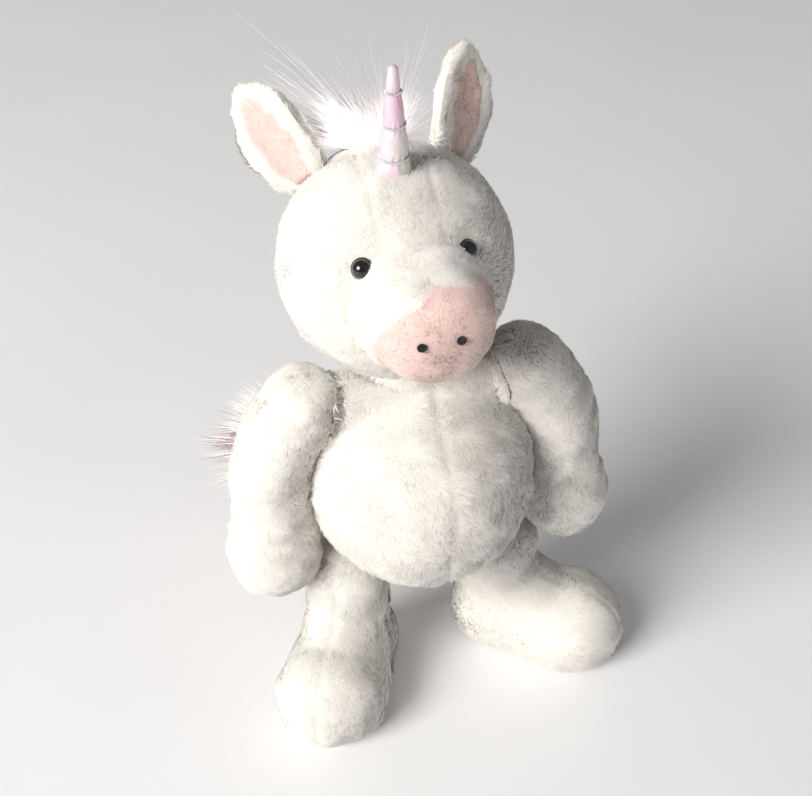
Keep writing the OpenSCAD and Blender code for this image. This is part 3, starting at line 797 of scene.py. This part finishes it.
shift = add("TexNoise", {"Vector": place, "Scale": 45.0, "Detail": 2.0})
weave = add("TexNoise", {"Vector": place, "Scale": 1400.0, "Detail": 1.0})
pearl = [(0.32, (0.88, 0.55, 0.68)), (0.5, (0.92, 0.72, 0.80)), (0.66, (0.80, 0.86, 0.72))]
tint = ramp(add, shift.outputs["Fac"], pearl)
pearly = {"Roughness": 0.34, "Metallic": 0.25, "Coat_Weight": 0.3, "Sheen_Weight": 0.3}
surface(shader, add, tint, weave.outputs["Fac"], 0.35, 0.0004, **pearly)
horn = shown("horn_skin", new_mesh("horn_skin", points, ring_faces(len(grown), 96)), "head", material)
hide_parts("horn_cover")

material, shader, add = node_tree("silver_thread")
glint = add("TexVoronoi", {"Vector": add("TexCoord").outputs["Object"], "Scale": 1500.0})
tint = ramp(add, glint.outputs["Distance"], [(0.1, (0.95, 0.95, 0.97)), (0.6, (0.70, 0.70, 0.74))])
surface(shader, add, tint, Metallic=0.35, Roughness=0.3)
turn = np.linspace(0, 2 * np.pi, 240, endpoint=False)
tube = np.linspace(0, 2 * np.pi, 10, endpoint=False)
parts, faces, base = [], [], 0
for t in thread_share:
    for ply in (0, 1):
        twist = 26 * turn + np.pi * ply
        out = horn_radius(t + 0.012 * np.cos(turn)) + 0.35 + 0.28 * np.cos(twist)
        rise = (t - 0.012 * np.cos(turn)) * horn_full + 0.28 * np.sin(twist)
        radial = np.cos(turn)[:, None] * horn_across + np.sin(turn)[:, None] * horn_side
        centre = horn_base + out[:, None] * radial + rise[:, None] * horn_dir
        points = centre[:, None] + 0.26 * (
            np.cos(tube)[None, :, None] * radial[:, None] + np.sin(tube)[None, :, None] * horn_dir
        )
        i, j = np.meshgrid(np.arange(240), np.arange(10), indexing="ij")
        here, after, beside = i * 10, (i + 1) % 240 * 10, (j + 1) % 10
        quad = np.stack([here + j, after + j, after + beside, here + beside], -1)
        faces += (quad.reshape(-1, 4)[:, ::-1] + base).tolist()
        parts.append(points.reshape(-1, 3))
        base += 2400
thread = shown("horn_winding", new_mesh("horn_winding", np.concatenate(parts), faces), "head", material)
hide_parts("horn_thread")

# ---- Ears ----
# Each ear is a cupped leaf of cream plush with a strip of pink plush lining sewn inside it, on a
# seam at the head that lets it fold.
ear_len, ear_w, ear_cup, ear_widest = 46.0, 31.0, 22.0, 0.4
lean_out = {"left": 21.0, "right": 32.0}


def turned(axis, degrees):
    """Matrix that turns a column about a main axis (0, 1 or 2) by an angle."""
    c, s = np.cos(np.radians(degrees)), np.sin(np.radians(degrees))
    matrix = np.eye(3)
    i, j = [(1, 2), (2, 0), (0, 1)][axis]
    matrix[i, i], matrix[i, j], matrix[j, i], matrix[j, j] = c, -s, s, c
    return matrix


def ear_frame(name):
    """(seat, matrix) of an ear: column three runs along it, and minus column two out of its open side."""
    mirror = np.diag([1.0 if name == "left" else -1.0, 1, 1])
    return joint_at[f"{name}_ear_fold"], mirror @ turned(1, lean_out[name]) @ turned(0, -29) @ turned(2, 28)


def ear_half_width(t):
    """Half width of the leaf at a share t of its length: two arcs that meet at the tip."""
    rise = ear_len * (1 - ear_widest)
    bow = (rise**2 + (ear_w / 2) ** 2) / ear_w
    return np.sqrt(np.maximum(bow**2 - ((t - ear_widest) * ear_len) ** 2, 0)) - (bow - ear_w / 2)


def ear_sheet(name, inset, inner, outer, rows=70, cols=60, base=-5.0):
    """Closed cupped leaf between two depths of the cup, with rounded rims.

    A point at a share v across bends on the cup: x = R sin(w v / R), y = R cos(w v / R) - R.
    """
    seat, matrix = ear_frame(name)
    z = np.linspace(base + inset, ear_len - 1.25 * inset - 0.4, rows)
    half = np.maximum(ear_half_width(z / ear_len) - inset, 0.4)
    v = np.linspace(-1, 1, cols)
    bulge = np.sqrt(np.maximum(1 - np.abs(v) ** 6, 0)) * 0.5
    middle = (inner + outer) / 2
    thick = (outer - inner) * np.minimum(1, half / 5)[:, None]
    sides = []
    for sign in (-1, 1):
        depth = ear_cup + middle + sign * thick * bulge[None]
        bend = half[:, None] * v[None] / ear_cup
        x, y = depth * np.sin(bend), depth * np.cos(bend) - ear_cup
        sides.append(np.stack([x, y, np.repeat(z[:, None], cols, 1)], -1))
    loop = np.concatenate([sides[0], sides[1][:, ::-1]], 1)
    points = np.concatenate([loop[:1].mean(1), loop.reshape(-1, 3), loop[-1:].mean(1)])
    if name == "right":
        faces = [face[::-1] for face in ring_faces(rows, 2 * cols)]
    else:
        faces = ring_faces(rows, 2 * cols)
    return seat + points @ matrix.T, faces


for name in ("left", "right"):
    seat, matrix = ear_frame(name)
    tip_dir, open_dir = matrix[:, 2], -matrix[:, 1]
    back_mesh = new_mesh(f"{name}_ear_plush", *ear_sheet(name, 0.4, 1.0, 5.0))
    back = shown(f"{name}_ear_plush", back_mesh, f"{name}_ear", cream_backing)
    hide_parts(f"{name}_ear_back")
    lining_mesh = new_mesh(f"{name}_ear_lining_plush", *ear_sheet(name, 5.2, -0.6, 1.4))
    lining = shown(f"{name}_ear_lining_plush", lining_mesh, f"{name}_ear", pink_backing)
    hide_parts(f"{name}_ear_lining")

    def ear_comb(points, tip_dir=tip_dir):
        """Along the ear to its tip."""
        return np.tile(tip_dir, (len(points), 1))

    def open_side(points, seat=seat, matrix=matrix):
        """True on the ear's open side, inside its cream rim."""
        local = (points - seat) @ matrix
        arc = ear_cup * np.arctan2(np.abs(local[:, 0]), local[:, 1] + ear_cup)
        shallow = np.hypot(local[:, 0], local[:, 1] + ear_cup) - ear_cup
        return (arc < ear_half_width(local[:, 2] / ear_len) - 5.2) & (shallow < 2) & (local[:, 2] < 40)

    back_pile = pile(
        f"{name}_ear_pile", back_mesh, f"{name}_ear", cream_pile, 24000, 4.2, ear_comb,
        width=0.65, lay=60, tuft=4.0, seed=51 if name == "left" else 52,
        keep=lambda p, test=open_side: ~test(p) & ~inside_balls(p, [(head_at, head_r + 0.5)]),
    )
    lining_pile = pile(
        f"{name}_ear_lining_pile", lining_mesh, f"{name}_ear", pink_pile, 10000, 2.2, ear_comb,
        width=0.6, lay=66, tuft=3.0, seed=53 if name == "left" else 54,
        keep=lambda p, test=open_side: test(p),
    )

# ---- Mane ----
# A tuft of long fine fibres, white and pale pink, sewn into the crown between the ears and
# brushed up and to one side.
mane_material = fibre_material(
    "mane_fibres", (0.95, 0.74, 0.76), (0.98, 0.95, 0.95), (0.97, 0.80, 0.82, 1), roughness=0.6
)


def locks(name, body, material, root, heading, length, droop, curl, width, seed, steps=9):
    """Long loose fibres: p(t) = root + L t heading + L t^2 droop + L t curl waves(where it is).

    The waves bring neighbours together in locks that wander, and spread towards their tips.
    """
    rng = np.random.default_rng(seed)
    t = np.linspace(0, 1, steps)[None, :, None]
    drift = waves(root + heading * 9, 16, seed + 1)
    fuzz = rng.normal(size=root.shape) * 0.11
    sway = waves(root, 7, seed + 2)
    spine = root[:, None] + length[:, None, None] * (
        heading[:, None] * t + droop[:, None] * t**2 + (curl * drift + fuzz)[:, None] * t**1.3
        + 0.05 * curl * sway[:, None] * np.sin(9 * t)
    )
    side = unit(np.cross(heading, rng.normal(size=root.shape)))
    up = unit(unit(root - root.mean(0)) + np.array([-0.5, -0.4, 0.6]))
    side = side * np.where((np.cross(side, heading) * up).sum(1) < 0, -1.0, 1.0)[:, None]
    widths = width * rng.uniform(0.6, 1.2, len(root))
    return shown(name, strand_mesh(name, spine, side, widths, up), body, material)


rng = np.random.default_rng(61)
count = int(9000 * max(pile_share, 0.5))
place = rng.uniform(-1, 1, (count, 2))
mane_lean = np.radians(31)
mane_seat = np.array([0, np.sin(mane_lean), np.cos(mane_lean)])
mane_back = np.cross(x_axis, mane_seat)
spot = mane_seat + (0.13 * place[:, :1] - 0.02) * x_axis + 0.36 * place[:, 1:] * mane_back
root = head_at + 49.0 * unit(spot)
fan = np.stack([
    -0.26 + 0.62 * place[:, 0] + 0.22 * rng.normal(size=count),
    0.15 + 0.35 * place[:, 1] + 0.2 * rng.normal(size=count), np.full(count, 0.9)
], -1)
heading = unit(fan + 0.25 * waves(root, 9, 62))
wisp = rng.uniform(size=count) < 0.04
length = np.where(wisp, rng.uniform(34, 58, count), rng.uniform(12, 27, count))
length = length * (1 - 0.25 * np.abs(place[:, 1]))
droop = np.tile([-0.12, 0.1, -0.14], (count, 1)) + 0.06 * rng.normal(size=(count, 3))
widths = np.where(wisp, 0.12, 0.26)
mane = locks("mane_locks", "head", mane_material, root, heading, length, droop, 0.22, widths, 63)
mane.visible_shadow = False
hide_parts("mane")

# ---- Arms ----
# Long soft arms of cream plush that hang from the shoulders and end in rounder hands. Each is
# sewn shut round its stuffing and joined to the body at a small tab.
for number, name in enumerate(("left", "right")):
    path, radii = capped(*arm_path(name))
    dense = np.linspace(0, len(path) - 1, 130)
    index = np.arange(len(path))
    path = np.stack([np.interp(dense, index, path[:, k]) for k in range(3)], -1)
    radii = np.interp(dense, index, radii)
    arm_mesh = new_mesh(f"{name}_arm_plush", *swept_skin(path, radii, 90))
    points, normals = points_of(arm_mesh)
    seam = np.exp(-(((points[:, 1] - shoulder_at[name][1]) / 1.6) ** 2))
    crease = np.exp(-(((points[:, 2] - body_z + 14) / 3.0) ** 2))
    dents = 0.5 * waves(points, 30, 81 + number)[:, 0] ** 2
    points = points - normals * (0.4 + 0.7 * seam + 0.5 * crease + dents)[:, None]
    set_points(arm_mesh, points)
    arm = shown(f"{name}_arm_plush", arm_mesh, f"{name}_arm", cream_backing)
    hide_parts(f"{name}_arm_cover")
    arm_pile = pile(
        f"{name}_arm_pile", arm_mesh, f"{name}_arm", cream_pile, 52000, 4.2,
        lambda p: np.tile([0, 0, -1.0], (len(p), 1)),
        keep=lambda p: ~inside_balls(p, [*body_balls, (head_at, head_r)], -2.0),
        trim=lambda p, y=shoulder_at[name][1]: 1 - 0.4 * np.exp(-(((p[:, 1] - y) / 1.5) ** 2)),
        seed=83 + number,
    )

# ---- Legs ----
# Short legs of cream plush that run into long feet turned out, with flat soles. A bag of pellets
# in each foot keeps the toy standing.
foot_len, foot_r, foot_z = 86.0, 26.0, 16.0
foot_turn = {"left": 53.0, "right": 27.0}
for number, name in enumerate(("left", "right")):
    sign = 1 if name == "left" else -1
    ankle = hip_at[name] * [1, 1, 0] + [0, 0, foot_z]
    toes = turned(2, sign * foot_turn[name]) @ np.array([0, -1.0, 0])
    heel_r = foot_r - 4
    reach = foot_len - foot_r - heel_r
    t = np.linspace(0, 1, 30)[:, None]
    foot = capped(ankle + toes * reach * t, (heel_r + (foot_r - heel_r) * t**1.2)[:, 0])
    below_hip = np.linspace(0, hip_at[name][2] - foot_z, 20)[:, None]
    shank = capped(hip_at[name] - below_hip * [0, 0, 1.0], np.full(20, leg_r))
    bridge = np.linspace(0, 1, 20)[:, None]
    instep_path = ankle + [0, 0, 19.0] + toes * (2 + 30 * bridge) - [0, 0, 17.0] * bridge
    instep = capped(instep_path, (18.5 + 3.5 * bridge)[:, 0])
    skins = [swept_skin(*line, 72, start=np.array([0.3, 0.2, 1.0])) for line in (foot, instep)]
    leg_mesh = welded_skin(f"{name}_leg_plush", [*skins, swept_skin(*shank, 72)], 1.8, 24)
    points, normals = points_of(leg_mesh)
    local = points - ankle
    side_gap = local @ np.cross(toes, [0, 0, 1.0])
    seam = np.exp(-((side_gap / 1.6) ** 2)) * (points[:, 2] > 8)
    dents = 0.4 * waves(points, 30, 91 + number)[:, 0] ** 2
    points = points - normals * (0.3 + 0.7 * seam + dents)[:, None]
    points[:, 2] = np.where(points[:, 2] < 1.2, np.clip(1.2 + 0.02 * points[:, 2], 0.6, 1.2), points[:, 2])
    set_points(leg_mesh, points)
    leg = shown(f"{name}_leg_plush", leg_mesh, f"{name}_leg", cream_backing)
    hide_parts(f"{name}_leg_cover", f"{name}_sole")

    def leg_comb(points, toes=toes, ankle=ankle):
        """Down the leg, then along the foot towards the toes and down round its end."""
        height = np.clip((points[:, 2:3] - 30) / 25, 0, 1)
        ahead_of = np.clip(((points - ankle) @ toes)[:, None] / 60, 0, 1)
        return height * [0, 0, -1.0] + (1 - height) * (toes * 0.9 + ahead_of * [0, 0, -0.9])

    leg_pile = pile(
        f"{name}_leg_pile", leg_mesh, f"{name}_leg", cream_pile, 52000, 4.2, leg_comb,
        keep=lambda p: (p[:, 2] > 2.2) & ~(inside_balls(p, body_balls, -2.0) & (p[:, 2] > seat_z - 1)),
        trim=lambda p: np.clip(p[:, 2] / 9, 0.3, 1), seed=93 + number,
    )

# ---- Tail ----
# A flame of long pale pink fibres with a cream fringe, on a stuffed core sewn low on the back.
tail_fibres = fibre_material(
    "tail_fibres", (0.95, 0.74, 0.75), (0.975, 0.87, 0.87), (0.975, 0.93, 0.90, 1), roughness=0.7
)
tail_turn, tail_drop, tail_len, tail_r = np.radians(58), np.radians(14), 113.0, 25.0
tail_dir = unit([-np.sin(tail_turn), np.cos(tail_turn), -np.tan(tail_drop)])
tail_side = unit(np.cross(tail_dir, [0, 0, 1.0]))
tail_up = np.cross(tail_side, tail_dir)
rng = np.random.default_rng(101)
count = int(20000 * max(pile_share, 0.5))
place = rng.uniform(0, 1, count) ** 0.8
around = rng.uniform(0, 2 * np.pi, count)
radial = np.cos(around)[:, None] * tail_side + np.sin(around)[:, None] * tail_up
root = tail_at + (6 + 56 * place)[:, None] * tail_dir + radial * (4.6 - 2.6 * place)[:, None]
heading = unit(tail_dir * 0.62 + radial * rng.uniform(0.45, 0.95, (count, 1)))
length = rng.uniform(20, 34, count) * (0.85 + 0.25 * place)
droop = tail_dir * 0.25 - radial * 0.2 + np.array([0, 0, -0.06])
tail = locks("tail_locks", "tail", tail_fibres, root, heading, length, droop, 0.2, 0.5, 103, steps=6)
tail.visible_shadow = False
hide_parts("tail_pile")

# ---- Inside and sewn-in pieces ----
# Clumps of polyester filling, bags of pellets, white washers, sewn tabs and the blank label keep
# the shapes that the toy is built round.
material, shader, add = node_tree("polyester_filling")
place = add("TexCoord").outputs["Object"]
clump = add("TexNoise", {"Vector": place, "Scale": 120.0, "Detail": 5.0})
tint = ramp(add, clump.outputs["Fac"], [(0.3, (0.80, 0.79, 0.77)), (0.7, (0.93, 0.93, 0.92))])
surface(shader, add, tint, clump.outputs["Fac"], 0.8, 0.002, Roughness=0.95)
filling = material

material, shader, add = node_tree("pellet_bag")
grain = add("TexVoronoi", {"Vector": add("TexCoord").outputs["Object"], "Scale": 330.0})
tint = ramp(add, grain.outputs["Distance"], [(0.1, (0.62, 0.52, 0.38)), (0.6, (0.45, 0.36, 0.25))])
surface(shader, add, tint, grain.outputs["Distance"], 0.7, 0.001, Roughness=0.6).invert = True
pellets = material

material, shader, add = node_tree("washer_plastic")
haze = add("TexNoise", {"Vector": add("TexCoord").outputs["Object"], "Scale": 200.0})
tint = ramp(add, haze.outputs["Fac"], [(0.3, (0.80, 0.80, 0.79)), (0.7, (0.88, 0.88, 0.87))])
surface(shader, add, tint, Roughness=0.4)
washer = material

material, shader, add = node_tree("label_ribbon")
rib = add("TexWave", {"Vector": add("TexCoord").outputs["Object"], "Scale": 900.0}, bands_direction="Z")
tint = ramp(add, rib.outputs["Fac"], [(0.2, (0.84, 0.84, 0.83)), (0.8, (0.92, 0.92, 0.91))])
surface(shader, add, tint, Roughness=0.5)
ribbon = material

for name, node in frame["nodes"].items():
    if node.hide_render:
        continue
    if "stuffing" in name:
        finish = filling
    elif "beans" in name or "bean" in name:
        finish = pellets
    elif "washer" in name:
        finish = washer
    elif name == "care_label":
        finish = ribbon
    elif name == "tail_core":
        finish = pink_backing
    else:
        finish = cream_backing
    node.data.materials.clear()
    node.data.materials.append(finish)
